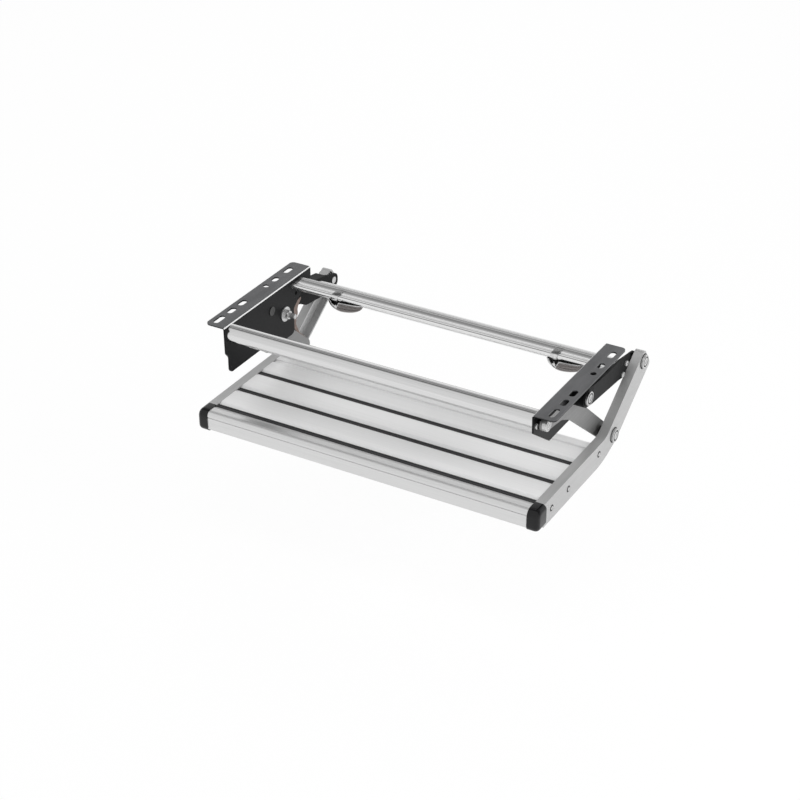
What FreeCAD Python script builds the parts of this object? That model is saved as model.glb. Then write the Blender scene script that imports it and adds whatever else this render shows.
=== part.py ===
import FreeCAD, Part
import math
import os
from FreeCAD import Vector

# Caravan entry step, stowed, in millimetres.
# +X is the viewer's right, +Y goes back under the vehicle, +Z is up.
# The origin lies on top of the bracket flanges, midway between their two round bolt holes.

# Brackets
sheet = 3.0
bracket_sheet = 2.5
web_inner_x = 246.5
flange_outer_x = 280.0
flange_front_y = -143.2
flange_back_y = 88.8
flange_corner_r = 7.0
fold_r = 3.2
hole_line_x = 269.1
slot_width = 9.4
round_hole_y = 0.0
slots = [(-123.2, 25.0), (-91.5, 18.5), (-63.1, 18.5), (25.5, 15.5), (61.2, 20.5)]
left_web_low_z = -78.0
left_lobe_low_z = -92.0
right_web_low_z = -66.5
spy_hole_y = 46.3
spy_hole_z = -27.0
spy_hole_r = 3.0

# Pivots in the side view, as (y, z)
front_pivot = (-126.2, -20.0)
rear_pivot = (-20.2, -28.0)
lower_pivot = (73.1, -135.6)
upper_pivot = (168.5, -60.2)
full_turn = 146.1
front_link_ratio = 0.7207
pin_r = 5.0
front_pin_r = 3.6
running_fit = 0.05
side_gap = 0.3
pin_tail_length = 3.0
rear_pin_tail_height = 1.0
rear_pin_tail_r = 7.0

# Front cross tube
tube_y = -126.2
tube_z = -15.0
tube_r = 13.5
tube_wall = 2.2
tube_port_offset = 10.4
tube_port_tilt = 30.0
tube_groove_angles = [100.0, 112.0, 124.0, 136.0]
tube_groove_width = 1.2
tube_groove_depth = 0.5

# Screws
screw_r = 2.1
screw_port_wall = 1.2
screw_length = 22.0
screw_head_r = 4.2
screw_head_height = 2.8
countersunk_head_r = 3.9
countersunk_depth = 2.0
countersink_inset = 0.3

# Rear profile
lip_y = 38.0
lip_z = -11.5
lip_r = 4.0
ridge_y = 61.5
ridge_z = -9.4
ridge_r = 3.0
profile_wall = 2.4
profile_rib_height = 0.8
profile_rib_width = 1.6
profile_port_y = (45.0, 58.0)
profile_port_z = -13.6

# Profile clips, as the x of each clip's left end
clip_starts = {"left_profile_clip": -180.0, "right_profile_clip": 183.0}
clip_strap_width = 8.0
clip_sheet = 1.2
clip_scoop_length = 60.0
clip_scoop_depth = 17.0
clip_scoop_half_width = 7.0
clip_scoop_back_y = 3.0
clip_mouth_inset = 5.0

# Stow stud
stud_y = 15.2
stud_z = -48.6
stud_r = 4.0
stud_inner_x = -228.0
stud_head_r = 8.0
stud_head_height = 3.0
washer_r = 11.6
washer_height = 1.6
nut_across_flats = 13.0
nut_height = 6.5

# Front links, in the link's own frame: s runs from the front pivot to the lower pivot
front_link_x = 250.2
right_link_eye_x = 253.7
left_link_eye_x = 250.2
front_link_eye_r = 9.0
front_link_end_r = 12.8
front_link_bow = 36.4
front_spacer_wall = 0.9
right_front_pin_head_r = 8.6
right_front_pin_head_height = 6.8
left_front_pin_head_r = 6.0
left_front_pin_head_height = 2.2
catch_spring_width = 3.0

# Rear links, in the link's own frame: s runs from the rear pivot to the upper pivot
rear_link_inner_x = 254.0
rear_link_front_x = 272.0
right_link_back_x = 264.2
left_link_back_x = 272.0
right_link_web_length = 72.0
left_link_web_length = 166.0
right_link_crest = 4.0
right_link_dip = 5.0
rear_link_half_depth = 14.25
rear_link_end_r = 11.0
rear_link_taper_start = 18.0
rear_link_taper_end = 128.0
rear_link_outer_length = 164.0
rear_link_lobe_depth = 21.0
upper_tail_r = 5.6
upper_tail_depth = 1.2
rear_spacer_r = 8.0
pin_head_r = 10.4
pin_head_height = 3.8
rear_tube_s = 144.7
rear_tube_n = -1.2
rear_tube_r = 12.2
rear_tube_wall = 2.2
rear_tube_port_offset = 8.6
rear_tube_port_tilt = 52.0

# Arms
arm_outer_x = 275.0
arm_inner_x = 261.0
arm_bottom_z = -164.0
arm_front_y = -153.9
arm_slope = 34.4
arm_bend_y = 46.7
arm_heel_y = 37.0
arm_heel_round = 140.0
arm_knee = (82.0, -149.0)
arm_end_front = (171.0, -41.5)
arm_end_back = (194.0, -73.0)
side_screw_y = (-129.6, -77.2, 23.5)
side_screw_lift = (-0.1, 1.4, 3.4)

# Tread
deck_z = -126.85
deck_skin = 2.6
deck_rib = 2.0
deck_bottom_z = -152.0
joint_lines_y = [-149.9, -93.9, -37.6, 3.2]
tread_back_y = 29.0
tread_back_round = 8.0
groove_width = 21.6
groove_floor = 9.6
groove_depth = 2.4
groove_teeth = 4
groove_tooth_height = 0.5
back_groove_width = 10.4
strip_width = 7.4
strip_side_gap = 0.1
strip_seat_depth = 1.0
strip_height = 2.3
strip_end_gap = 0.2
deck_end_gap = 0.2
flange_notch_gap = 0.1
nose_front_y = -177.6
nose_bottom_z = -156.0
nose_round = 8.0
nose_wall = 2.4
nose_inner_round = 5.0
nose_groove_y = -171.6
nose_groove_depth = 0.9
nose_groove_width = 1.4
nose_front_groove_z = -135.6

# End caps
cap_side_proud = 3.5
cap_front_proud = 1.3
cap_top_proud = 0.75
cap_bottom_proud = 4.3
cap_brow_round = 11.0
cap_chin_round = 5.0
cap_side_round = 8.0
cap_wall = 3.0
cap_plug_length = 16.0
cap_plug_gap = 0.1


def unit(vector):
    result = Vector(vector)
    result.normalize()
    return result


def outline_face(points):
    """A flat face at x = 0 whose corners (y, z, radius) are rounded by arcs."""
    stops = []
    count = len(points)
    for index in range(count):
        y, z, radius = points[index]
        corner = Vector(0, y, z)
        if radius == 0:
            stops.append((corner, None, corner))
            continue
        before = points[index - 1]
        after = points[(index + 1) % count]
        back = unit(Vector(0, before[0], before[1]) - corner)
        ahead = unit(Vector(0, after[0], after[1]) - corner)
        half = back.getAngle(ahead) / 2
        if half > math.pi / 2 - 0.001:
            stops.append((corner, None, corner))
            continue
        reach = radius / math.tan(half)
        bisector = unit(back + ahead)
        centre = corner + bisector * (radius / math.sin(half))
        stops.append((corner + back * reach, centre - bisector * radius, corner + ahead * reach))
    edges = []
    for index in range(count):
        start, middle, end = stops[index]
        last_end = stops[index - 1][2]
        if last_end.distanceToPoint(start) > 1e-6:
            edges.append(Part.LineSegment(last_end, start).toShape())
        if middle is not None:
            edges.append(Part.Arc(start, middle, end).toShape())
    return Part.Face(Part.Wire(Part.__sortEdges__(edges)))


def plate(points, x0, x1):
    """A flat plate with a rounded outline in the side view, from x0 to x1."""
    face = outline_face(points)
    face.translate(Vector(x0, 0, 0))
    return face.extrude(Vector(x1 - x0, 0, 0))


def rod(x0, x1, y, z, radius):
    return Part.makeCylinder(radius, x1 - x0, Vector(x0, y, z), Vector(1, 0, 0))


def block(x0, x1, y0, y1, z0, z1):
    return Part.makeBox(x1 - x0, y1 - y0, z1 - z0, Vector(x0, y0, z0))


def top_view_prism(corners, z0, z1):
    """A prism from corners given as (y, x), between two heights."""
    wire = Part.makePolygon([Vector(x, y, z0) for y, x in corners + corners[:1]])
    return Part.Face(wire).extrude(Vector(0, 0, z1 - z0))


def mirrored(shape):
    return shape.mirror(Vector(0, 0, 0), Vector(1, 0, 0))


def both_sides(shape):
    return [shape, mirrored(shape)]


def in_link_frame(shape, pivot, far_pivot):
    """Moves a shape from a link's own frame to its place between two pivots."""
    angle = math.degrees(math.atan2(far_pivot[1] - pivot[1], far_pivot[0] - pivot[0]))
    placed = shape.copy()
    placed.rotate(Vector(0, 0, 0), Vector(1, 0, 0), angle)
    placed.translate(Vector(0, pivot[0], pivot[1]))
    return placed


def span(pivot, far_pivot):
    return math.hypot(far_pivot[0] - pivot[0], far_pivot[1] - pivot[1])


def to_place(s, n, pivot, far_pivot):
    """The side-view (y, z) of a point given in a link's own frame."""
    angle = math.atan2(far_pivot[1] - pivot[1], far_pivot[0] - pivot[0])
    y = pivot[0] + s * math.cos(angle) - n * math.sin(angle)
    z = pivot[1] + s * math.sin(angle) + n * math.cos(angle)
    return y, z


def port_places(y, z, offset, tilt):
    """Two screw ports on opposite sides of a tube's centre."""
    dy = offset * math.cos(math.radians(tilt))
    dz = offset * math.sin(math.radians(tilt))
    return [(y - dy, z - dz), (y + dy, z + dz)]


def screw(seat_x, y, z, length):
    """A pan-head screw with a cross recess; its head stands outboard of seat_x."""
    head = rod(seat_x, seat_x + screw_head_height, y, z, screw_head_r)
    rim = [edge for edge in head.Edges if edge.BoundBox.XMin > seat_x + screw_head_height / 2
           and edge.BoundBox.XLength < 0.01]
    head = head.makeFillet(screw_head_height * 0.45, rim)
    slot_half = screw_head_r * 0.55
    slot_thin = screw_head_r * 0.12
    slot_floor = seat_x + screw_head_height * 0.5
    top = seat_x + screw_head_height + 1
    recess = block(slot_floor, top, y - slot_half, y + slot_half, z - slot_thin, z + slot_thin)
    recess = recess.fuse(block(slot_floor, top, y - slot_thin, y + slot_thin, z - slot_half, z + slot_half))
    return head.cut(recess).fuse(rod(seat_x - length, seat_x, y, z, screw_r))


def countersunk_screw(face_x, y, z, length):
    """A countersunk screw whose recessed face lies just under the surface it is driven into."""
    top = face_x - countersink_inset
    head = Part.makeCone(screw_r, countersunk_head_r, countersunk_depth, Vector(top - countersunk_depth, y, z),
                         Vector(1, 0, 0))
    body = head.fuse(rod(face_x - length, top - countersunk_depth + 0.2, y, z, screw_r))
    return body.cut(rod(top - countersunk_depth * 0.7, top + 1, y, z, countersunk_head_r * 0.42))


def countersink(face_x, y, z):
    """The hole that a countersunk screw sits in, larger all round by the running fit."""
    low = face_x - countersink_inset - countersunk_depth
    slope = (countersunk_head_r - screw_r) / countersunk_depth
    wide = countersunk_head_r + running_fit + slope * (countersink_inset + 1)
    cone = Part.makeCone(screw_r + running_fit, wide, countersunk_depth + countersink_inset + 1,
                         Vector(low, y, z), Vector(1, 0, 0))
    return cone.fuse(rod(low - sheet, low + 0.2, y, z, screw_r + running_fit))


def pin_head(x0, x1, y, z, radius):
    """A turned pin head with a raised rim round a dished face."""
    head = rod(x0, x1, y, z, radius)
    rim = [edge for edge in head.Edges if edge.BoundBox.XMin > (x0 + x1) / 2 and edge.BoundBox.XLength < 0.01]
    head = head.makeFillet(0.8, rim)
    ring_groove = rod(x1 - 0.9, x1 + 1, y, z, radius * 0.74).cut(rod(x1 - 0.9, x1 + 1, y, z, radius * 0.6))
    dish = rod(x1 - 0.6, x1 + 1, y, z, radius * 0.3)
    return head.cut(ring_groove).cut(dish)


nodes = {}


def save(name, pieces):
    nodes[name] = pieces


web_outer_x = web_inner_x + bracket_sheet


def web_outline(front_corner_z, lower_points):
    """The side-view outline of a bracket: flange line on top, web below."""
    top = [(flange_front_y, 0, 0)]
    back = [(39.5, -50.0, 6.0), (56.0, -37.0, 10.0), (flange_back_y, -18.0, 6.0), (flange_back_y, 0, 0)]
    return top + [(flange_front_y + 1.0, front_corner_z, 3.0)] + lower_points + back


def flange_hole(y):
    place = Vector(hole_line_x, y, -bracket_sheet - 1)
    return Part.makeCylinder(slot_width / 2, bracket_sheet + 2, place)


def make_bracket(outline):
    """One right-hand folded bracket whose web follows the outline."""
    reach = flange_back_y - flange_front_y
    fold_box = block(web_inner_x, flange_outer_x, flange_front_y, flange_back_y, -120, 0)
    outer_edge = [edge for edge in fold_box.Edges if edge.BoundBox.YLength > reach - 1
                  and edge.BoundBox.XMax < web_inner_x + 0.1 and edge.BoundBox.ZMin > -0.1]
    fold_box = fold_box.makeFillet(fold_r, outer_edge)
    hollow = block(web_outer_x, flange_outer_x + 1, flange_front_y - 1, flange_back_y + 1, -121, -bracket_sheet)
    inner_edge = [edge for edge in hollow.Edges if edge.BoundBox.YLength > reach
                  and edge.BoundBox.XMax < web_outer_x + 0.1 and edge.BoundBox.ZMin > -bracket_sheet - 0.1]
    hollow = hollow.makeFillet(fold_r - bracket_sheet, inner_edge)
    bracket = fold_box.cut(hollow).common(plate(outline, web_inner_x - 1, flange_outer_x + 1))
    corners = [edge for edge in bracket.Edges if edge.BoundBox.ZLength > bracket_sheet - 0.1
               and edge.BoundBox.ZMax > -0.1 and edge.BoundBox.XMin > flange_outer_x - 0.1
               and edge.BoundBox.YLength < 0.1]
    bracket = bracket.makeFillet(flange_corner_r, corners)
    cuts = [flange_hole(round_hole_y)]
    for centre_y, length in slots:
        half = (length - slot_width) / 2
        for end_y in (centre_y - half, centre_y + half):
            cuts.append(flange_hole(end_y))
        cuts.append(block(hole_line_x - slot_width / 2, hole_line_x + slot_width / 2,
                          centre_y - half, centre_y + half, -bracket_sheet - 1, 1))
    cuts.append(rod(web_inner_x - 1, web_outer_x + 1, front_pivot[0], front_pivot[1], front_pin_r))
    cuts.append(rod(web_inner_x - 1, web_outer_x + 1, rear_pivot[0], rear_pivot[1], pin_r))
    for y, z in tube_ports + profile_ports:
        cuts.append(rod(web_inner_x - 1, web_outer_x + 1, y, z, screw_r + running_fit))
    for cutter in cuts:
        bracket = bracket.cut(cutter)
    return bracket


tube_ports = port_places(tube_y, tube_z, tube_port_offset, tube_port_tilt)
profile_ports = [(y, profile_port_z) for y in profile_port_y]


def make_brackets():
    left_points = [(-135.0, -52.0, 8.0), (-135.0, left_web_low_z, 8.0), (-54.0, left_web_low_z, 8.0),
                   (-36.0, left_lobe_low_z, 8.0), (40.0, left_lobe_low_z, 8.0)]
    right_points = [(-91.0, right_web_low_z, 3.0), (39.5, right_web_low_z, 8.0)]
    left = make_bracket(web_outline(-43.0, left_points))
    for y, z in tube_ports:
        left = left.cut(countersink(web_outer_x, y, z))
    left = mirrored(left)
    outer = -web_outer_x - 1
    left = left.cut(rod(outer, -web_inner_x + 1, spy_hole_y, spy_hole_z, spy_hole_r))
    left = left.cut(rod(outer, -web_inner_x + 1, stud_y, stud_z, stud_r))
    save("left_bracket", [left])
    save("right_bracket", [make_bracket(web_outline(-29.0, right_points))])


def tube_with_ports(half_length, y, z, radius, wall, ports):
    tube = rod(-half_length, half_length, y, z, radius).cut(rod(-half_length, half_length, y, z, radius - wall))
    for port_y, port_z in ports:
        boss = rod(-half_length, half_length, port_y, port_z, screw_r + running_fit + screw_port_wall)
        tube = tube.fuse(boss.common(rod(-half_length, half_length, y, z, radius)))
    for port_y, port_z in ports:
        tube = tube.cut(rod(-half_length, half_length, port_y, port_z, screw_r + running_fit))
    return tube


def make_front_tube():
    tube = tube_with_ports(web_inner_x, tube_y, tube_z, tube_r, tube_wall, tube_ports)
    for angle in tube_groove_angles:
        groove = block(-web_inner_x, web_inner_x, -tube_groove_width / 2, tube_groove_width / 2,
                       tube_r - tube_groove_depth, tube_r + 1)
        groove.rotate(Vector(0, 0, 0), Vector(1, 0, 0), angle - 90)
        groove.translate(Vector(0, tube_y, tube_z))
        tube = tube.cut(groove)
    save("front_cross_tube", [tube])
    screws = []
    for y, z in tube_ports:
        screws.append(screw(web_outer_x, y, z, screw_length))
        screws.append(mirrored(countersunk_screw(web_outer_x, y, z, screw_length)))
    save("front_tube_screws", screws)


def make_rear_profile():
    """A round front lip, a ribbed deck rising to a rear ridge, and two screw ports below."""
    deck = plate([(lip_y, lip_z, 0), (lip_y + 3.0, lip_z + lip_r * 0.75, 0), (ridge_y, ridge_z + ridge_r, 0),
                  (ridge_y, ridge_z + ridge_r - profile_wall, 0), (lip_y + 3.5, lip_z - 0.8, 0)],
                 -web_inner_x, web_inner_x)
    profile = deck.fuse(rod(-web_inner_x, web_inner_x, lip_y, lip_z, lip_r))
    profile = profile.fuse(rod(-web_inner_x, web_inner_x, ridge_y, ridge_z, ridge_r))
    profile = profile.fuse(block(-web_inner_x, web_inner_x, ridge_y + ridge_r - profile_wall, ridge_y + ridge_r,
                                 profile_port_z - 3.2, ridge_z))
    for port_y, port_z in profile_ports:
        boss = rod(-web_inner_x, web_inner_x, port_y, port_z, screw_r + running_fit + screw_port_wall)
        stem = block(-web_inner_x, web_inner_x, port_y - 1.2, port_y + 1.2, port_z, lip_z + 4.0)
        profile = profile.fuse(boss).fuse(stem)
    floor = block(-web_inner_x, web_inner_x, profile_port_y[0], ridge_y + ridge_r - 0.5,
                  profile_port_z - 3.2, profile_port_z - 3.2 + 1.6)
    profile = profile.fuse(floor)
    for port_y, port_z in profile_ports:
        profile = profile.cut(rod(-web_inner_x, web_inner_x, port_y, port_z, screw_r + running_fit))
    for share in (0.3, 0.72):
        rib_y = lip_y + (ridge_y - lip_y) * share
        rib_z = lip_z + lip_r * 0.75 + (ridge_z + ridge_r - lip_z - lip_r * 0.75) * share
        rib = block(-web_inner_x, web_inner_x, rib_y, rib_y + profile_rib_width, rib_z - 1.2,
                    rib_z + profile_rib_height)
        profile = profile.fuse(rib)
    save("rear_profile", [profile.removeSplitter()])
    screws = []
    for y, z in profile_ports:
        screws += both_sides(screw(web_outer_x, y, z, screw_length))
    save("rear_profile_screws", screws)


def make_clip(start_x):
    """A strap over the profile's lip that carries a tapering scoop under it."""
    strap_r = lip_r + clip_sheet
    strap = rod(start_x, start_x + clip_strap_width, lip_y, lip_z, strap_r)
    strap = strap.cut(rod(start_x, start_x + clip_strap_width, lip_y, lip_z, lip_r))
    opening = block(start_x - 1, start_x + clip_strap_width + 1, lip_y + 1.0, lip_y + 9, lip_z - 9, lip_z + 9)
    strap = strap.cut(opening)
    bowl = Part.makeSphere(1.0)
    stretch = FreeCAD.Matrix()
    stretch.scale(clip_scoop_length / 2, clip_scoop_half_width, clip_scoop_depth)
    bowl = bowl.transformGeometry(stretch)
    inner = Part.makeSphere(1.0)
    stretch = FreeCAD.Matrix()
    stretch.scale(clip_scoop_length / 2 - clip_sheet * 2, clip_scoop_half_width - clip_sheet,
                  clip_scoop_depth - clip_sheet)
    inner = inner.transformGeometry(stretch)
    scoop = bowl.cut(inner)
    mouth_x = clip_mouth_inset - clip_scoop_length / 2
    scoop = scoop.common(block(mouth_x, clip_scoop_length, -20, 20, -40, 0))
    centre_y = lip_y + clip_scoop_back_y - clip_scoop_half_width
    scoop.translate(Vector(start_x - mouth_x, centre_y, lip_z - lip_r))
    return strap.fuse(scoop)


def make_clips():
    for name, start_x in clip_starts.items():
        save(name, [make_clip(start_x)])


def make_stow_stud():
    head = rod(-web_outer_x - stud_head_height, -web_outer_x, stud_y, stud_z, stud_head_r)
    stud = head.fuse(rod(-web_outer_x, stud_inner_x, stud_y, stud_z, stud_r))
    tip = [edge for edge in stud.Edges if edge.BoundBox.XMin > stud_inner_x - 0.1]
    save("stow_stud", [stud.makeChamfer(0.8, tip)])
    washer = rod(-web_inner_x, -web_inner_x + washer_height, stud_y, stud_z, washer_r)
    washer = washer.cut(rod(-web_inner_x, -web_inner_x + washer_height, stud_y, stud_z, stud_r + running_fit))
    save("stow_stud_washer", [washer])
    nut_x = -web_inner_x + washer_height
    across_corners_r = nut_across_flats / 2 / math.cos(math.radians(30))
    corners = []
    for index in range(6):
        angle = math.radians(60 * index + 15)
        corner_y = stud_y + across_corners_r * math.cos(angle)
        corners.append((corner_y, stud_z + across_corners_r * math.sin(angle), 0))
    nut = plate(corners, nut_x, nut_x + nut_height)
    bevel = Part.makeCone(across_corners_r + 2.4, nut_across_flats / 2 - 0.4, nut_height + 1.4,
                          Vector(nut_x - 0.6, stud_y, stud_z), Vector(1, 0, 0))
    nut = nut.common(bevel)
    nut = nut.cut(rod(nut_x, nut_x + nut_height, stud_y, stud_z, stud_r + running_fit))
    save("stow_stud_nut", [nut])


def front_pin_and_spacer(eye_x, head_r, head_height):
    """A front pivot's pin and spacer, drawn for the right-hand web."""
    y, z = front_pivot
    head_x = eye_x + sheet + side_gap
    pin = rod(web_inner_x - pin_tail_length, head_x, y, z, front_pin_r)
    pin = pin.fuse(pin_head(head_x, head_x + head_height, y, z, head_r))
    spacer = rod(web_outer_x, eye_x - side_gap, y, z, front_pin_r + front_spacer_wall)
    return pin, spacer.cut(rod(web_outer_x, eye_x, y, z, front_pin_r))


def make_fixed_pivots():
    """The pins and spacers that stand on the bracket webs."""
    right = front_pin_and_spacer(right_link_eye_x, right_front_pin_head_r, right_front_pin_head_height)
    left = front_pin_and_spacer(left_link_eye_x, left_front_pin_head_r, left_front_pin_head_height)
    save("front_pivot_pins", [right[0], mirrored(left[0])])
    save("front_pivot_spacers", [right[1], mirrored(left[1])])
    y, z = rear_pivot
    head_x = rear_link_front_x + side_gap
    pin = rod(web_inner_x, head_x, y, z, pin_r)
    tail = rod(web_inner_x - rear_pin_tail_height, web_inner_x, y, z, rear_pin_tail_r)
    pin = pin.fuse(tail).fuse(pin_head(head_x, head_x + pin_head_height, y, z, pin_head_r))
    save("rear_pivot_pins", both_sides(pin))
    spacer = rod(web_outer_x, rear_link_inner_x - side_gap, y, z, rear_spacer_r)
    save("rear_pivot_spacers", both_sides(spacer.cut(rod(web_outer_x, rear_link_inner_x, y, z, pin_r))))


def front_link_outline():
    length = span(front_pivot, lower_pivot)
    end_s = length + front_link_end_r
    return [(-front_link_eye_r, -front_link_eye_r, front_link_eye_r - 0.1), (27.0, -front_link_eye_r, 20.0),
            (68.0, 8.5, 25.0), (98.0, 10.5, 40.0), (end_s, -front_link_end_r + 0.6, front_link_end_r - 1.2),
            (end_s, front_link_end_r + 0.4, front_link_end_r - 1.2), (122.0, front_link_bow, 10.0),
            (104.0, front_link_bow + 0.5, 6.0), (60.0, 32.0, 6.0), (26.0, 12.0, 20.0),
            (8.0, front_link_eye_r, 8.0), (-front_link_eye_r, front_link_eye_r, front_link_eye_r - 0.1)]


def make_front_link(eye):
    """One front link, drawn for the right: a flat plate whose eye may be set outboard."""
    length = span(front_pivot, lower_pivot)
    flat = front_link_x
    far = length + 40
    route = [(-30, eye), (12, eye), (21, flat), (far, flat), (far, flat + sheet), (22.2, flat + sheet),
             (13.2, eye + sheet), (-30, eye + sheet)]
    bent_sheet = top_view_prism(route, -60, 90)
    link = bent_sheet.common(plate(front_link_outline(), flat - 1, eye + sheet + 1))
    link = link.cut(tube_nest(flat - 1, eye + sheet + 1))
    pivot_s, pivot_n = in_front_link(rear_pivot)
    link = link.cut(rod(flat - 1, eye + sheet + 1, pivot_s, pivot_n, rear_spacer_r + 1.0))
    link = link.cut(rod(flat - 1, eye + sheet + 1, 0, 0, front_pin_r + running_fit))
    link = link.cut(rod(flat - 1, eye + sheet + 1, length, 0, pin_r + running_fit))
    return in_link_frame(link, front_pivot, lower_pivot)


def turned(point, pivot, degrees):
    """A side-view point after the step swings forward about a pivot."""
    angle = math.radians(-degrees)
    dy = point[0] - pivot[0]
    dz = point[1] - pivot[1]
    return (pivot[0] + dy * math.cos(angle) - dz * math.sin(angle),
            pivot[1] + dy * math.sin(angle) + dz * math.cos(angle))


def in_front_link(point, turn=0.0):
    """A side-view point in the front link's own frame once the rear links have turned."""
    still = turned(point, front_pivot, -turn * front_link_ratio)
    angle = math.atan2(lower_pivot[1] - front_pivot[1], lower_pivot[0] - front_pivot[0])
    dy = still[0] - front_pivot[0]
    dz = still[1] - front_pivot[1]
    return dy * math.cos(angle) + dz * math.sin(angle), dz * math.cos(angle) - dy * math.sin(angle)


def tube_nest(x0, x1):
    """The way the rear cross tube takes into the front link as the step reaches its stop."""
    radius = rear_tube_r + side_gap
    steps = 12
    path = []
    for step in range(steps + 1):
        turn = full_turn * (1 - 0.2 * step / steps)
        path.append(in_front_link(turned((rear_tube_y, rear_tube_z), rear_pivot, turn), turn))
    nest = rod(x0, x1, path[0][0], path[0][1], radius)
    for near, far in zip(path, path[1:]):
        run = math.hypot(far[0] - near[0], far[1] - near[1])
        across = ((far[1] - near[1]) / run * radius, (near[0] - far[0]) / run * radius)
        lane = [(near[0] + across[0], near[1] + across[1], 0), (far[0] + across[0], far[1] + across[1], 0),
                (far[0] - across[0], far[1] - across[1], 0), (near[0] - across[0], near[1] - across[1], 0)]
        nest = nest.fuse(plate(lane, x0, x1)).fuse(rod(x0, x1, far[0], far[1], radius))
    return nest.removeSplitter()


def make_front_links():
    save("right_front_link", [make_front_link(right_link_eye_x)])
    left = mirrored(make_front_link(left_link_eye_x))
    save("left_front_link", [left])
    blade = [(224.0, 14.95, 0), (200.0, 20.06, 12.0), (183.0, 26.5, 10.0), (172.5, 39.0, 6.0),
             (171.5, 46.5, 4.0), (166.0, 54.0, 6.0), (165.5, 66.5, 6.0), (176.6, 76.6, 0), (179.2, 74.2, 0), (176.0, 64.0, 5.0),
             (176.5, 57.0, 6.0), (181.0, 51.0, 5.0), (181.0, 42.0, 6.0), (183.5, 34.0, 8.0),
             (201.5, 22.6, 12.0), (224.5, 17.3, 0)]
    inner_x = -front_link_x - catch_spring_width
    spring = in_link_frame(plate(blade, inner_x, -front_link_x), front_pivot, lower_pivot)
    save("catch_spring", [spring.cut(left)])


def make_rear_link(back_x, web_length, crest, dip):
    """One rear link, drawn for the right: two plates joined on top and round the front end.

    The outer plate leans in to back_x. Behind the web its top edge may rise by crest and the inner
    plate's top edge may drop by dip.
    """
    length = span(rear_pivot, upper_pivot)
    deep = rear_link_half_depth
    inner = rear_link_inner_x
    end = rear_link_outer_length
    front = rear_link_front_x
    start = rear_link_taper_start
    stop = rear_link_taper_end
    tall = 4 * deep
    outer_sheet = top_view_prism([(-2 * deep, front - sheet), (-2 * deep, front), (start, front),
                                  (stop, back_x), (end, back_x), (end, back_x - sheet), (stop, back_x - sheet),
                                  (start, front - sheet)], -tall, tall)
    outer_plate = [(-deep, -deep, deep - 0.05), (end - 14, -deep, 4.0), (end, deep + crest - 3, 3.0),
                   (end - 4, deep + crest, 2.0), (stop, deep + crest, 12.0),
                   (right_link_web_length, deep, 12.0), (-deep, deep, deep - 0.05)]
    link = outer_sheet.common(plate(outer_plate, inner, front))
    envelope = top_view_prism([(-2 * deep, inner), (-2 * deep, front), (start, front), (stop, back_x),
                               (end, back_x), (end, inner)], -tall, tall)
    channel = [(-deep, -deep, deep - 0.05), (web_length - 14, -deep, 0), (web_length, deep, 0),
               (-deep, deep, deep - 0.05)]
    room = deep - sheet
    hollow = rod(inner - 1, front + 1, 0, 0, room).fuse(block(inner - 1, front + 1, 0, end + 5, -tall, room))
    link = link.fuse(envelope.common(plate(channel, inner, front)).cut(hollow))
    end_s = length + rear_link_end_r
    inner_plate = [(-deep, -deep, deep - 0.05), (92.0, -deep, 12.0), (112.0, -rear_link_lobe_depth, 12.0),
                   (168.0, -rear_link_lobe_depth + 3, 10.0), (end_s, -rear_link_end_r, rear_link_end_r - 0.05),
                   (end_s, rear_link_end_r, rear_link_end_r - 0.05), (length - 12, rear_link_end_r + 0.4, 6.0),
                   (length - 26, deep - dip, 8.0)]
    if dip > 0:
        inner_plate += [(web_length + 8, deep - dip, 6.0), (web_length, deep, 6.0)]
    inner_plate.append((-deep, deep, deep - 0.05))
    link = link.fuse(plate(inner_plate, inner, inner + sheet)).removeSplitter()
    link = link.cut(rod(inner - 1, front + 1, 0, 0, pin_r + running_fit))
    link = link.cut(rod(inner - 1, inner + sheet + 1, length, 0, pin_r + running_fit))
    link = link.cut(rod(inner, inner + upper_tail_depth + running_fit, length, 0, upper_tail_r + running_fit))
    link = in_link_frame(link, rear_pivot, upper_pivot)
    for y, z in rear_tube_ports:
        link = link.cut(rod(inner - 1, front + 1, y, z, screw_r + running_fit))
    return link


rear_tube_y, rear_tube_z = to_place(rear_tube_s, rear_tube_n, rear_pivot, upper_pivot)
rear_tube_ports = port_places(rear_tube_y, rear_tube_z, rear_tube_port_offset, rear_tube_port_tilt)


def make_rear_links():
    right = make_rear_link(right_link_back_x, right_link_web_length, right_link_crest, right_link_dip)
    save("right_rear_link", [right])
    left = make_rear_link(left_link_back_x, left_link_web_length, 0, 0)
    save("left_rear_link", [mirrored(left)])
    tube = tube_with_ports(rear_link_inner_x, rear_tube_y, rear_tube_z, rear_tube_r, rear_tube_wall,
                           rear_tube_ports)
    save("rear_cross_tube", [tube])
    screws = []
    for y, z in rear_tube_ports:
        reach = screw_length - rear_link_inner_x
        screws.append(screw(right_link_back_x, y, z, reach + right_link_back_x))
        screws.append(mirrored(screw(left_link_back_x, y, z, reach + left_link_back_x)))
    save("rear_tube_screws", screws)


def side_screw_spots():
    """The side screws' (y, z), set about the middle of the arm's level leg."""
    middle = (arm_bottom_z + deck_z) / 2
    return [(y, middle + lift) for y, lift in zip(side_screw_y, side_screw_lift)]


side_screw_places = side_screw_spots()


def arm_outline():
    """The arm's side view: a level leg, a heel and a raised leg with a square end."""
    return [(arm_front_y, deck_z, 0), (arm_front_y, arm_bottom_z, 0),
            (arm_heel_y, arm_bottom_z, arm_heel_round), (arm_knee[0], arm_knee[1], 30.0), (arm_end_back[0], arm_end_back[1], 7.0),
            (arm_end_front[0], arm_end_front[1], 7.0), (arm_bend_y, deck_z, 40.0)]


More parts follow.
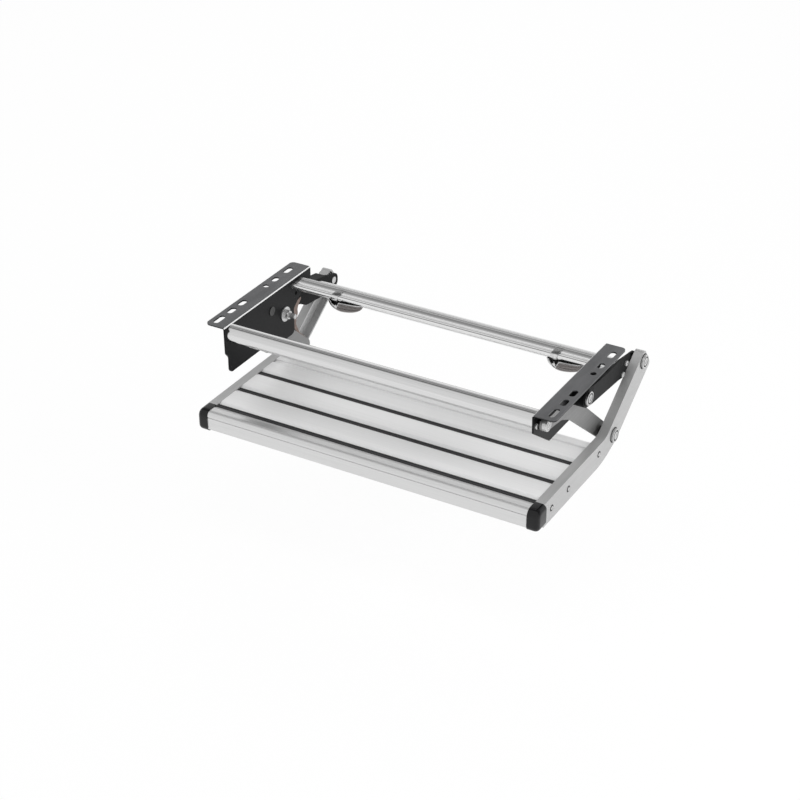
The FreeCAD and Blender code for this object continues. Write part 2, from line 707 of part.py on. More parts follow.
def make_arm():
    """One right-hand arm: a channel with its web outboard and its flanges inboard."""
    outline = arm_outline()
    arm = plate(outline, arm_inner_x, arm_outer_x)
    hollow_face = outline_face(outline).makeOffset2D(-sheet)
    hollow_face.translate(Vector(arm_inner_x, 0, 0))
    hollow = hollow_face.extrude(Vector(arm_outer_x - sheet - arm_inner_x, 0, 0))
    open_front = block(arm_inner_x, arm_outer_x - sheet, arm_front_y, arm_front_y + 2 * sheet,
                       arm_bottom_z + sheet, deck_z - sheet)
    arm = arm.cut(hollow).cut(open_front)
    for y, z in side_screw_places:
        arm = arm.cut(countersink(arm_outer_x, y, z))
    for y, z in (lower_pivot, upper_pivot):
        arm = arm.cut(rod(arm_outer_x - sheet - 1, arm_outer_x + 1, y, z, pin_r))
    return arm


def make_arms():
    arm = make_arm()
    save("right_arm", [arm])
    save("left_arm", [mirrored(arm)])
    screws = []
    for y, z in side_screw_places:
        screws += both_sides(countersunk_screw(arm_outer_x, y, z, screw_length))
    save("side_screws", screws)


def make_moving_pivots():
    """The pins and bushes that ride on the arms."""
    bush_end = arm_outer_x - sheet
    y, z = upper_pivot
    head = pin_head(arm_outer_x, arm_outer_x + pin_head_height, y, z, pin_head_r)
    tail = rod(rear_link_inner_x, rear_link_inner_x + upper_tail_depth, y, z, upper_tail_r)
    save("upper_pivot_pins", both_sides(rod(rear_link_inner_x, arm_outer_x, y, z, pin_r).fuse(head).fuse(tail)))
    bush = rod(rear_link_inner_x + sheet + side_gap, bush_end, y, z, rear_spacer_r)
    save("upper_pivot_bushes", both_sides(bush.cut(rod(rear_link_inner_x, bush_end, y, z, pin_r))))
    y, z = lower_pivot
    stub_end = front_link_x + sheet + side_gap
    head = pin_head(arm_outer_x, arm_outer_x + pin_head_height, y, z, pin_head_r)
    save("lower_pivot_pins", both_sides(rod(stub_end, arm_outer_x, y, z, pin_r).fuse(head)))
    bush = rod(stub_end, bush_end, y, z, rear_spacer_r)
    save("lower_pivot_bushes", both_sides(bush.cut(rod(stub_end, bush_end, y, z, pin_r))))


deck_half_length = arm_outer_x - sheet
skin_half_length = arm_inner_x - deck_end_gap
strip_half_length = skin_half_length - strip_end_gap


def groove_cut(centre_y, width, floor_width):
    """The groove along a joint between two deck planks, with fine teeth down both flanks."""
    reach = (width - floor_width) / 2
    flank = [(width / 2, deck_z + 0.01)]
    for tooth in range(groove_teeth):
        drop = groove_depth * (tooth + 1) / groove_teeth
        flank.append((width / 2 - reach * (tooth + 0.35) / groove_teeth, deck_z - drop))
        rise = 0 if tooth == groove_teeth - 1 else groove_tooth_height
        flank.append((width / 2 - reach * (tooth + 1) / groove_teeth, deck_z - drop + rise))
    right = [(centre_y + offset, z, 0) for offset, z in flank]
    left = [(centre_y - offset, z, 0) for offset, z in reversed(flank)]
    return plate(right + left, -deck_half_length - 1, deck_half_length + 1)


def strip_seat(centre_y):
    """The slot in the groove's floor that holds a rubber strip."""
    half = strip_width / 2 + strip_side_gap
    low = deck_z - groove_depth
    return block(-deck_half_length - 1, deck_half_length + 1, centre_y - half, centre_y + half,
                 low - strip_seat_depth, low + 1)


def make_plank(front_y, back_y, extra_cuts):
    """A hollow deck extrusion: skin, two side ribs and a floor, notched under the arm flanges."""
    body = block(-deck_half_length, deck_half_length, front_y, back_y, deck_bottom_z, deck_z)
    room_top = deck_z - groove_depth - deck_skin
    room = block(-deck_half_length, deck_half_length, front_y + deck_rib, back_y - deck_rib,
                 deck_bottom_z + deck_rib, room_top)
    body = body.cut(room)
    for side in (1, -1):
        near_x = side * skin_half_length
        far_x = side * (arm_outer_x + 1)
        notch = block(min(near_x, far_x), max(near_x, far_x), front_y - 1, back_y + 1,
                      deck_z - sheet - flange_notch_gap, deck_z + 1)
        body = body.cut(notch)
    for y, z in side_screw_places:
        if front_y < y < back_y:
            boss_r = screw_r + running_fit + screw_port_wall
            boss = rod(-deck_half_length, deck_half_length, y, z, boss_r)
            stem = block(-deck_half_length, deck_half_length, y - 1.0, y + 1.0, deck_bottom_z + deck_rib, z)
            body = body.fuse(boss).fuse(stem)
            body = body.cut(rod(-deck_half_length, deck_half_length, y, z, screw_r + running_fit))
    for cutter in extra_cuts:
        body = body.cut(cutter)
    return body


def make_deck():
    names = ["front_deck_plank", "middle_deck_plank", "back_deck_plank"]
    strip_lines = joint_lines_y[:3]
    grooves = [groove_cut(y, groove_width, groove_floor).fuse(strip_seat(y)) for y in strip_lines]
    grooves.append(groove_cut(joint_lines_y[3], back_groove_width, back_groove_width - 2.4))
    for index, name in enumerate(names):
        save(name, [make_plank(joint_lines_y[index], joint_lines_y[index + 1], grooves)])
    rail = make_plank(joint_lines_y[3], tread_back_y, grooves)
    half = arm_outer_x
    back_corner = block(-half, half, tread_back_y - tread_back_round, tread_back_y + 1,
                        deck_z - tread_back_round, deck_z + 1)
    back_corner = back_corner.cut(rod(-half, half, tread_back_y - tread_back_round, deck_z - tread_back_round,
                                      tread_back_round))
    save("rear_rail", [rail.cut(back_corner)])
    low = deck_z - groove_depth - strip_seat_depth
    for name, y in zip(["front_grip_strip", "middle_grip_strip", "back_grip_strip"], strip_lines):
        half = strip_width / 2
        strip = plate([(y - half, low, 0), (y + half, low, 0), (y + half, low + strip_height, 0.8),
                       (y + half * 0.34, low + strip_height, 0), (y + half * 0.26, low + strip_height - 0.7, 0),
                       (y - half * 0.26, low + strip_height - 0.7, 0), (y - half * 0.34, low + strip_height, 0),
                       (y - half, low + strip_height, 0.8)], -strip_half_length, strip_half_length)
        save(name, [strip])


def make_nose():
    """The hollow nose extrusion, with a fine groove along its top front edge."""
    back_y = joint_lines_y[0]
    outline = [(back_y, deck_z, 0), (nose_front_y, deck_z, nose_round), (nose_front_y, nose_bottom_z, 2.0),
               (back_y, nose_bottom_z, 0)]
    nose = plate(outline, -skin_half_length, skin_half_length)
    room = [(back_y - nose_wall, deck_z - groove_depth - deck_skin, 1.0),
            (nose_front_y + nose_wall, deck_z - groove_depth - deck_skin, nose_inner_round),
            (nose_front_y + nose_wall, nose_bottom_z + nose_wall, 1.0),
            (back_y - nose_wall, nose_bottom_z + nose_wall, 1.0)]
    nose = nose.cut(plate(room, -skin_half_length, skin_half_length))
    nose = nose.cut(groove_cut(back_y, groove_width, groove_floor)).cut(strip_seat(back_y))
    fine = block(-skin_half_length, skin_half_length, nose_groove_y - nose_groove_width / 2,
                 nose_groove_y + nose_groove_width / 2, deck_z - nose_groove_depth, deck_z + 1)
    low_fine = block(-skin_half_length, skin_half_length, nose_front_y - 1, nose_front_y + nose_groove_depth,
                     nose_front_groove_z - nose_groove_width / 2, nose_front_groove_z + nose_groove_width / 2)
    save("nose_plank", [nose.cut(fine).cut(low_fine)])


cap_outer_x = arm_outer_x + cap_side_proud
cap_front_y = nose_front_y - cap_front_proud
cap_top_z = deck_z + cap_top_proud
cap_bottom_z = nose_bottom_z - cap_bottom_proud


def make_cap():
    """One right-hand end cap: a rounded brow, a hollow back and a plug that enters the nose."""
    side = [(arm_front_y, cap_top_z, 0), (cap_front_y, cap_top_z, cap_brow_round),
            (cap_front_y, cap_bottom_z, cap_chin_round), (arm_front_y, cap_bottom_z, 0)]
    cap = plate(side, skin_half_length, cap_outer_x)
    plan = block(skin_half_length, cap_outer_x, cap_front_y, arm_front_y, cap_bottom_z, cap_top_z)
    upright = [edge for edge in plan.Edges if edge.BoundBox.ZLength > 10
               and edge.BoundBox.YMax < cap_front_y + 0.1 and edge.BoundBox.XMin > cap_outer_x - 0.1]
    cap = cap.common(plan.makeFillet(cap_side_round, upright))
    pocket = block(skin_half_length + cap_wall, cap_outer_x - cap_wall, cap_front_y + cap_brow_round,
                   arm_front_y + 1, cap_bottom_z + cap_wall, cap_top_z - cap_wall)
    cap = cap.cut(pocket)
    gap = nose_wall + cap_plug_gap
    plug = block(skin_half_length - cap_plug_length, skin_half_length,
                 nose_front_y + nose_wall + nose_inner_round, joint_lines_y[0] - gap - 1,
                 nose_bottom_z + gap + 1, deck_z - groove_depth - deck_skin - cap_plug_gap)
    return cap.fuse(plug)


def make_caps():
    cap = make_cap()
    save("right_end_cap", [cap])
    save("left_end_cap", [mirrored(cap)])


make_brackets()
make_front_tube()
make_rear_profile()
make_clips()
make_stow_stud()
make_fixed_pivots()
make_front_links()
make_rear_links()
make_arms()
make_moving_pivots()
make_deck()
make_nose()
make_caps()

os.makedirs("parts", exist_ok=True)
for name, pieces in nodes.items():
    shape = pieces[0] if len(pieces) == 1 else Part.makeCompound(pieces)
    shape.exportStep("parts/" + name + ".step")
    state = "valid" if shape.isValid() else "BROKEN"
    print(name, len(shape.Solids), "solids", round(shape.Volume), "mm3", state)
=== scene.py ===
import math

import bmesh
import bpy
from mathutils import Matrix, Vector


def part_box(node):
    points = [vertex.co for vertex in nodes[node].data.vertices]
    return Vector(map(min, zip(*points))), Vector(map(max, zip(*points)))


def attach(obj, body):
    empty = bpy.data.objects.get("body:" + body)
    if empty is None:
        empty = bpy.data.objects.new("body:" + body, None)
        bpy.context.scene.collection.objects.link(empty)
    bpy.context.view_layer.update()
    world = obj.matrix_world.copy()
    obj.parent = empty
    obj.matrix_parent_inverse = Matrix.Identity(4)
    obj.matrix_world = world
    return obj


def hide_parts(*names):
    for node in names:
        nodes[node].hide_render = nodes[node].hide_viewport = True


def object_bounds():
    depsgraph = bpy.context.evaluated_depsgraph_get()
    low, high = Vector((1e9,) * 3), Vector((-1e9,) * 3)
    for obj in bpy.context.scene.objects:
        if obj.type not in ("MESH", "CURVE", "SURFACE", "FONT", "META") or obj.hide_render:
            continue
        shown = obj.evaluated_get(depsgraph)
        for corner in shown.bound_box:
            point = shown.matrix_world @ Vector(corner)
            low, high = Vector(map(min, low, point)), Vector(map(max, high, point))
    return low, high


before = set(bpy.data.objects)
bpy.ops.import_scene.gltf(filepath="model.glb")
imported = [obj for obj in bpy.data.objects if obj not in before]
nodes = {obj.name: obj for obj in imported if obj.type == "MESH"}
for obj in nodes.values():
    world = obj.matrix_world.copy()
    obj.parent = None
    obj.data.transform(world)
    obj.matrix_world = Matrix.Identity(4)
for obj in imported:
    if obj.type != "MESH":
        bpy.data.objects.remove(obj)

cad_box = [list(corner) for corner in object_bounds()]
scene = bpy.context.scene


# Materials

def new_material(name):
    material = bpy.data.materials.new(name)
    material.use_nodes = True
    tree = material.node_tree
    return material, tree, tree.nodes["Principled BSDF"]


def object_coords(tree, scale=(1.0, 1.0, 1.0)):
    """Object coordinates stretched for a grain that runs along the piece."""
    place = tree.nodes.new("ShaderNodeTexCoord")
    mapping = tree.nodes.new("ShaderNodeMapping")
    mapping.inputs["Scale"].default_value = scale
    tree.links.new(place.outputs["Object"], mapping.inputs["Vector"])
    return mapping.outputs["Vector"]


def noise(tree, vector, scale, detail=4.0, roughness=0.55):
    node = tree.nodes.new("ShaderNodeTexNoise")
    node.inputs["Scale"].default_value = scale
    node.inputs["Detail"].default_value = detail
    node.inputs["Roughness"].default_value = roughness
    tree.links.new(vector, node.inputs["Vector"])
    return node.outputs["Fac"]


def ramp(tree, value, stops):
    """Colours or greys placed along a value."""
    node = tree.nodes.new("ShaderNodeValToRGB")
    elements = node.color_ramp.elements
    while len(elements) < len(stops):
        elements.new(0.5)
    for element, (place, colour) in zip(elements, stops):
        element.position = place
        element.color = (*colour, 1.0) if isinstance(colour, tuple) else (colour, colour, colour, 1.0)
    tree.links.new(value, node.inputs["Fac"])
    return node.outputs["Color"]


def bump(tree, shader, height, strength, distance):
    node = tree.nodes.new("ShaderNodeBump")
    node.inputs["Strength"].default_value = strength
    node.inputs["Distance"].default_value = distance
    tree.links.new(height, node.inputs["Height"])
    tree.links.new(node.outputs["Normal"], shader.inputs["Normal"])


def brushed_metal(name, dark, light, rough_low, rough_high, grain, depth, metallic=1.0):
    """A drawn or extruded metal whose fine lines run along one axis."""
    material, tree, shader = new_material(name)
    lines = noise(tree, object_coords(tree, grain), 1.0, 6.0, 0.65)
    clouds = noise(tree, object_coords(tree), 9.0, 3.0, 0.5)
    tone = ramp(tree, lines, [(0.32, dark), (0.68, light)])
    shader.inputs["Metallic"].default_value = metallic
    tree.links.new(tone, shader.inputs["Base Color"])
    tree.links.new(ramp(tree, clouds, [(0.3, rough_low), (0.7, rough_high)]), shader.inputs["Roughness"])
    bump(tree, shader, lines, depth, 0.0002)
    return material


def powder_coat(name, colour, sheen_rough, sheen=0.16):
    """Charcoal powder coat: a fine orange peel over a dark base."""
    material, tree, shader = new_material(name)
    peel = noise(tree, object_coords(tree), 900.0, 3.0, 0.5)
    patches = noise(tree, object_coords(tree), 14.0, 3.0, 0.5)
    low = tuple(channel * 0.88 for channel in colour)
    high = tuple(channel * 1.15 for channel in colour)
    tree.links.new(ramp(tree, patches, [(0.3, low), (0.7, high)]), shader.inputs["Base Color"])
    tree.links.new(ramp(tree, patches, [(0.3, sheen_rough - 0.04), (0.7, sheen_rough + 0.05)]),
                   shader.inputs["Roughness"])
    shader.inputs["Specular IOR Level"].default_value = sheen
    bump(tree, shader, peel, 0.12, 0.0003)
    return material


def bracket_coat(name, flange_z, fold_x, fold_z):
    """The charcoal coat: a painted sheen makes it lighter on the top flange, where it is also glossier, and a
    painted highlight runs along the fold's crest.
    """
    material = powder_coat(name, (0.009, 0.0092, 0.0098), 0.32)
    tree = material.node_tree
    shader = tree.nodes["Principled BSDF"]
    apart = tree.nodes.new("ShaderNodeSeparateXYZ")
    tree.links.new(object_coords(tree), apart.inputs["Vector"])
    above = tree.nodes.new("ShaderNodeMapRange")
    above.inputs["From Min"].default_value = flange_z - 0.0006
    above.inputs["From Max"].default_value = flange_z
    tree.links.new(apart.outputs["Z"], above.inputs["Value"])
    # Painted sheen: the top flange's coat is drawn lighter than the webs, in soft patches.
    sheen_patches = noise(tree, object_coords(tree, (60.0, 12.0, 60.0)), 1.0, 4.0, 0.6)
    painted_flange_sheen = ramp(tree, sheen_patches, [(0.30, (0.036, 0.037, 0.040)), (0.70, (0.074, 0.075, 0.079))])
    tone = tree.nodes.new("ShaderNodeMix")
    tone.data_type = "RGBA"
    tree.links.new(above.outputs["Result"], tone.inputs["Factor"])
    tree.links.new(shader.inputs["Base Color"].links[0].from_socket, tone.inputs["A"])
    tree.links.new(painted_flange_sheen, tone.inputs["B"])
    tree.links.new(tone.outputs["Result"], shader.inputs["Base Color"])
    sheen = tree.nodes.new("ShaderNodeMapRange")
    sheen.inputs["To Min"].default_value = 0.08
    sheen.inputs["To Max"].default_value = 0.55
    tree.links.new(above.outputs["Result"], sheen.inputs["Value"])
    tree.links.new(sheen.outputs["Result"], shader.inputs["Specular IOR Level"])

    # Painted highlight: a thin pale band along the fold's crest, where a bright line of light falls.
    outward = tree.nodes.new("ShaderNodeMath")
    outward.operation = "ABSOLUTE"
    tree.links.new(apart.outputs["X"], outward.inputs[0])
    inner = tree.nodes.new("ShaderNodeMath")
    inner.operation = "LESS_THAN"
    inner.inputs[1].default_value = fold_x
    tree.links.new(outward.outputs[0], inner.inputs[0])
    high = tree.nodes.new("ShaderNodeMath")
    high.operation = "GREATER_THAN"
    high.inputs[1].default_value = fold_z
    tree.links.new(apart.outputs["Z"], high.inputs[0])
    crest = tree.nodes.new("ShaderNodeMath")
    crest.operation = "MULTIPLY"
    tree.links.new(inner.outputs[0], crest.inputs[0])
    tree.links.new(high.outputs[0], crest.inputs[1])
    painted_fold_highlight = tree.nodes.new("ShaderNodeMix")
    painted_fold_highlight.data_type = "RGBA"
    painted_fold_highlight.inputs["B"].default_value = (0.80, 0.80, 0.80, 1.0)
    tree.links.new(crest.outputs[0], painted_fold_highlight.inputs["Factor"])
    tree.links.new(tone.outputs["Result"], painted_fold_highlight.inputs["A"])
    tree.links.new(painted_fold_highlight.outputs["Result"], shader.inputs["Base Color"])
    return material


def rubber(name, colour):
    material, tree, shader = new_material(name)
    grain = noise(tree, object_coords(tree), 1400.0, 4.0, 0.6)
    dust = noise(tree, object_coords(tree, (1.0, 4.0, 4.0)), 30.0, 4.0, 0.6)
    light = tuple(channel * 1.7 for channel in colour)
    tree.links.new(ramp(tree, dust, [(0.35, colour), (0.75, light)]), shader.inputs["Base Color"])
    shader.inputs["Roughness"].default_value = 0.62
    bump(tree, shader, grain, 0.2, 0.0003)
    return material


def gloss_plastic(name, colour, rough):
    material, tree, shader = new_material(name)
    flow = noise(tree, object_coords(tree), 35.0, 3.0, 0.5)
    light = tuple(channel * 1.35 for channel in colour)
    tree.links.new(ramp(tree, flow, [(0.3, colour), (0.7, light)]), shader.inputs["Base Color"])
    tree.links.new(ramp(tree, flow, [(0.3, rough), (0.7, rough + 0.05)]), shader.inputs["Roughness"])
    shader.inputs["Specular IOR Level"].default_value = 0.3
    bump(tree, shader, flow, 0.05, 0.0005)
    return material


along_x = (6.0, 900.0, 900.0)
along_side = (900.0, 14.0, 900.0)
deck_finish = brushed_metal("satin_deck", 0.80, 0.86, 0.52, 0.58, along_x, 0.02, 0.15)
nose_finish = brushed_metal("satin_nose", 0.66, 0.72, 0.28, 0.34, along_x, 0.02, 0.7)
arm_finish = brushed_metal("satin_arm", 0.48, 0.54, 0.44, 0.52, along_side, 0.03, 0.55)
tube_finish = brushed_metal("polished_tube", 0.68, 0.74, 0.15, 0.19, along_x, 0.0)
link_finish = brushed_metal("grey_link_steel", 0.22, 0.28, 0.42, 0.50, along_side, 0.08, 0.6)
zinc_finish = brushed_metal("zinc_hardware", 0.50, 0.66, 0.20, 0.30, (120.0, 120.0, 120.0), 0.06, 0.7)
spring_finish = brushed_metal("dark_spring_steel", (0.20, 0.185, 0.18), (0.31, 0.29, 0.285), 0.12, 0.20,
                              (20.0, 300.0, 300.0), 0.02)
catch_finish = brushed_metal("browned_catch_steel", (0.14, 0.105, 0.09), (0.24, 0.18, 0.16), 0.14, 0.24,
                             (20.0, 300.0, 300.0), 0.02)
coat_finish = bracket_coat("charcoal_powder_coat", -0.0010, 0.2482, -0.0018)
link_coat_finish = powder_coat("charcoal_link_coat", (0.006, 0.0062, 0.0066), 0.45, 0.06)
strip_finish = rubber("ribbed_rubber", (0.022, 0.022, 0.023))
bush_finish = gloss_plastic("black_nylon", (0.018, 0.018, 0.019), 0.45)
cap_finish = gloss_plastic("gloss_black_cap", (0.006, 0.006, 0.0065), 0.12)
# A flat black that stands for shade in grooves, recesses and hollows: painted shade.
shadow_finish = powder_coat("painted_shade_black", (0.008, 0.008, 0.008), 0.55)


def painted_tail(name, paint_x):
    """Zinc steel whose inner end, within paint_x of the middle, carries the bracket's coat."""
    material, tree, shader = new_material(name)
    coords = object_coords(tree)
    apart = tree.nodes.new("ShaderNodeSeparateXYZ")
    tree.links.new(coords, apart.inputs["Vector"])
    outward = tree.nodes.new("ShaderNodeMath")
    outward.operation = "ABSOLUTE"
    tree.links.new(apart.outputs["X"], outward.inputs[0])
    bare = tree.nodes.new("ShaderNodeMath")
    bare.operation = "GREATER_THAN"
    bare.inputs[1].default_value = paint_x
    tree.links.new(outward.outputs[0], bare.inputs[0])
    grain = noise(tree, object_coords(tree, (120.0, 120.0, 120.0)), 1.0, 6.0, 0.65)
    metal = ramp(tree, grain, [(0.32, 0.50), (0.68, 0.62)])
    tone = tree.nodes.new("ShaderNodeMix")
    tone.data_type = "RGBA"
    tone.inputs["A"].default_value = (0.012, 0.012, 0.012, 1.0)
    tree.links.new(bare.outputs[0], tone.inputs["Factor"])
    tree.links.new(metal, tone.inputs["B"])
    tree.links.new(tone.outputs["Result"], shader.inputs["Base Color"])
    tree.links.new(bare.outputs[0], shader.inputs["Metallic"])
    shader.inputs["Roughness"].default_value = 0.28
    return material


pin_finish = painted_tail("rear_pin_zinc", 0.2464)


def banded_profile(name):
    """The bright rear profile: painted reflections and painted shade give its lip, groove, two deck bands, back line
    and ridge their differing tones.
    """
    material, tree, shader = new_material(name)
    apart = tree.nodes.new("ShaderNodeSeparateXYZ")
    tree.links.new(object_coords(tree), apart.inputs["Vector"])
    across = tree.nodes.new("ShaderNodeMapRange")
    across.inputs["From Min"].default_value = 0.034
    across.inputs["From Max"].default_value = 0.0645
    tree.links.new(apart.outputs["Y"], across.inputs["Value"])
    # Painted reflection and shade: a bright lip and ridge, a dark groove and back line, and a darker upper deck band
    # over a lighter lower one.
    painted_reflection_bands = ramp(tree, across.outputs["Result"],
                 [(0.0, 0.90), (0.17, 0.86), (0.205, 0.22), (0.235, 0.84), (0.52, 0.80), (0.57, 0.50), (0.76, 0.48),
                  (0.79, 0.24), (0.82, 0.74)])
    sheen = ramp(tree, across.outputs["Result"], [(0.0, 0.14), (0.22, 0.15), (0.54, 0.14), (0.58, 0.09), (0.8, 0.09),
                                                  (0.84, 0.16)])
    lines = noise(tree, object_coords(tree, along_x), 1.0, 3.0, 0.5)
    grain = tree.nodes.new("ShaderNodeMix")
    grain.data_type = "RGBA"
    grain.blend_type = "MULTIPLY"
    grain.inputs["Factor"].default_value = 0.25
    tree.links.new(painted_reflection_bands, grain.inputs["A"])
    tree.links.new(ramp(tree, lines, [(0.32, 0.80), (0.68, 1.0)]), grain.inputs["B"])
    tree.links.new(grain.outputs["Result"], shader.inputs["Base Color"])
    tree.links.new(sheen, shader.inputs["Roughness"])
    shader.inputs["Metallic"].default_value = 0.9
    return material


profile_finish = banded_profile("bright_profile")
# Bright strap steel, also laid on the scoop's rim as a painted highlight.
strap_steel_and_painted_highlight = brushed_metal("bright_strap", 0.66, 0.84, 0.06, 0.10, (300.0, 60.0, 60.0), 0.0)
# A darker copy of the strap steel, used as painted shade.
dark_strap_finish = brushed_metal("shaded_strap", 0.10, 0.30, 0.10, 0.18, (500.0, 200.0, 200.0), 0.0)

finishes = {
    coat_finish: ["left_bracket", "right_bracket"],
    link_coat_finish: ["left_rear_link", "right_rear_link"],
    tube_finish: ["front_cross_tube", "rear_cross_tube"],
    profile_finish: ["rear_profile"],
    nose_finish: ["nose_plank"],
    deck_finish: ["front_deck_plank", "middle_deck_plank", "back_deck_plank", "rear_rail"],
    arm_finish: ["left_arm", "right_arm"],
    link_finish: ["left_front_link", "right_front_link"],
    spring_finish: ["left_profile_clip", "right_profile_clip"],
    catch_finish: ["catch_spring"],
    strip_finish: ["front_grip_strip", "middle_grip_strip", "back_grip_strip"],
    cap_finish: ["left_end_cap", "right_end_cap"],
    bush_finish: ["upper_pivot_bushes", "lower_pivot_bushes", "front_pivot_spacers", "rear_pivot_spacers"],
    pin_finish: ["rear_pivot_pins"],
    zinc_finish: ["front_tube_screws", "rear_profile_screws", "rear_tube_screws", "side_screws",
                  "front_pivot_pins", "upper_pivot_pins", "lower_pivot_pins",
                  "stow_stud", "stow_stud_washer", "stow_stud_nut"],
}
for finish, names in finishes.items():
    for name in names:
        nodes[name].data.materials.clear()
        nodes[name].data.materials.append(finish)


# Pieces made here

smooth_below = math.radians(32)
sharp_above = math.radians(60)
weld = 0.000001


def place_piece(name, shape, material, body, stands_for=None):
    """Puts a finished bmesh in the scene on its body, in place of the solid it stands for."""
    for face in shape.faces:
        face.smooth = True
    for edge in shape.edges:
        edge.smooth = edge.calc_face_angle(0.0) < smooth_below
    mesh = bpy.data.meshes.new(name)
    shape.to_mesh(mesh)
    shape.free()
    mesh.materials.append(material)
    piece = bpy.data.objects.new(name, mesh)
    scene.collection.objects.link(piece)
    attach(piece, body)
    if stands_for:
        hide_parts(stands_for)
    return piece


def moulded_cap(name, side):
    """A glossy end cap: full round at the brow and chin, softer round at the outer corners."""
    low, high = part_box("right_end_cap")
    inner_x = 0.2608
    brow, chin, corner = 0.0110, 0.0090, 0.0072
    shape = bmesh.new()
    bmesh.ops.create_cube(shape, size=1.0)
    bmesh.ops.scale(shape, vec=(high[0] - inner_x, high[1] - low[1], high[2] - low[2]), verts=shape.verts)
    bmesh.ops.translate(shape, vec=((high[0] + inner_x) / 2, (high[1] + low[1]) / 2, (high[2] + low[2]) / 2),
                        verts=shape.verts)

    def edges_at(test):
        return [edge for edge in shape.edges if all(test(vert.co) for vert in edge.verts)]

    def rounded(edges, radius, segments):
        bmesh.ops.bevel(shape, geom=edges, offset=radius, offset_type="OFFSET", affect="EDGES",
                        segments=segments, profile=0.5, clamp_overlap=True, material=-1)

    near = 0.00005
    rounded(edges_at(lambda co: co.y < low[1] + near and co.z > high[2] - near), brow, 9)
    rounded(edges_at(lambda co: co.y < low[1] + near and co.z < low[2] + near), chin, 7)
    outer = [edge for edge in shape.edges if all(vert.co.x > high[0] - near for vert in edge.verts)
             and not all(vert.co.y > high[1] - near for vert in edge.verts)]
    rounded(outer, corner, 8)
    if side < 0:
        bmesh.ops.mirror(shape, geom=list(shape.verts) + list(shape.edges) + list(shape.faces), axis="X",
                         merge_dist=-1.0)
        bmesh.ops.delete(shape, geom=[vert for vert in shape.verts if vert.co.x > 0.0], context="VERTS")
        bmesh.ops.remove_doubles(shape, verts=shape.verts, dist=weld)
    bmesh.ops.recalc_face_normals(shape, faces=shape.faces)
    place_piece(name + "_moulded", shape, cap_finish, "tread", name)


moulded_cap("right_end_cap", 1)
moulded_cap("left_end_cap", -1)


